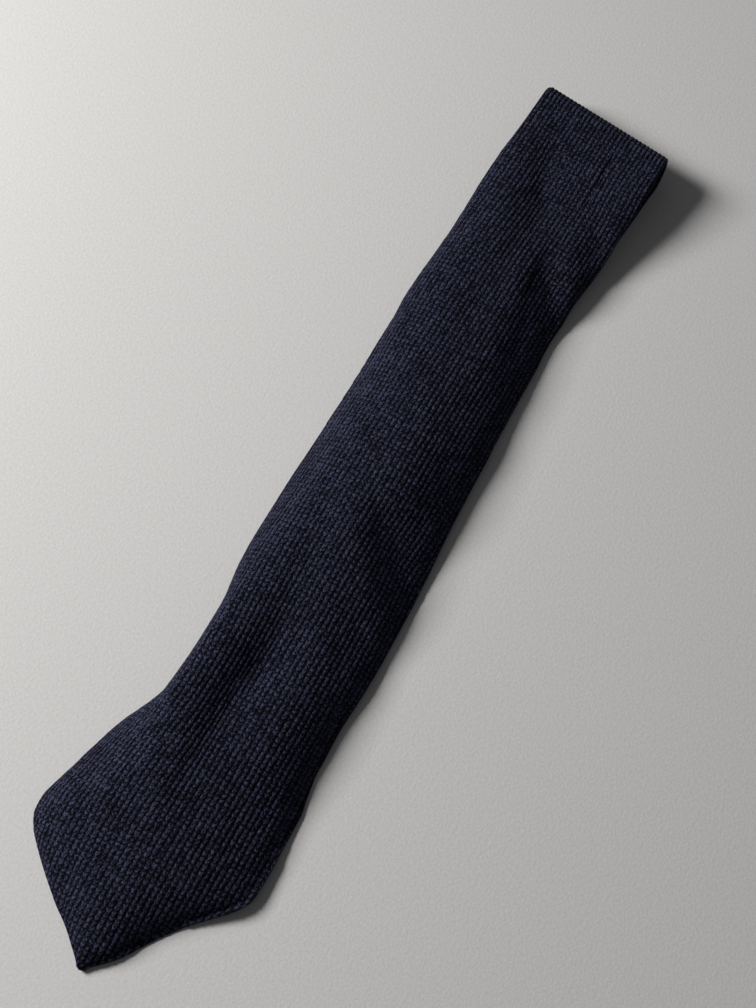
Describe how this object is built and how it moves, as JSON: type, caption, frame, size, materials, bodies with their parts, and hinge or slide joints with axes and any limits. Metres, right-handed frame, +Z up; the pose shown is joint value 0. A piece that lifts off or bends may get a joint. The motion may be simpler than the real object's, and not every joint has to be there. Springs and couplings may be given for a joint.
{
  "type": "knit tie",
  "caption": "Slim knitted necktie with a pointed front blade, folded in four and laid flat, face up.",
  "frame": {"origin": "on the surface the tie lies on, under the middle of its outline seen from above", "axes": "+Y from the point of the front blade to the top fold, +X to the right seen from above with the point nearest, +Z up, out of the face of the tie"},
  "size_m": [0.082, 0.3766, 0.0171],
  "materials": {
    "knit_wool": "matt navy knitted wool with fine lengthwise ribs"
  },
  "bodies": {
    "root": {"front_blade": "knit_wool", "neck_band": "knit_wool", "tail_blade": "knit_wool"}
  },
  "joints": []
}
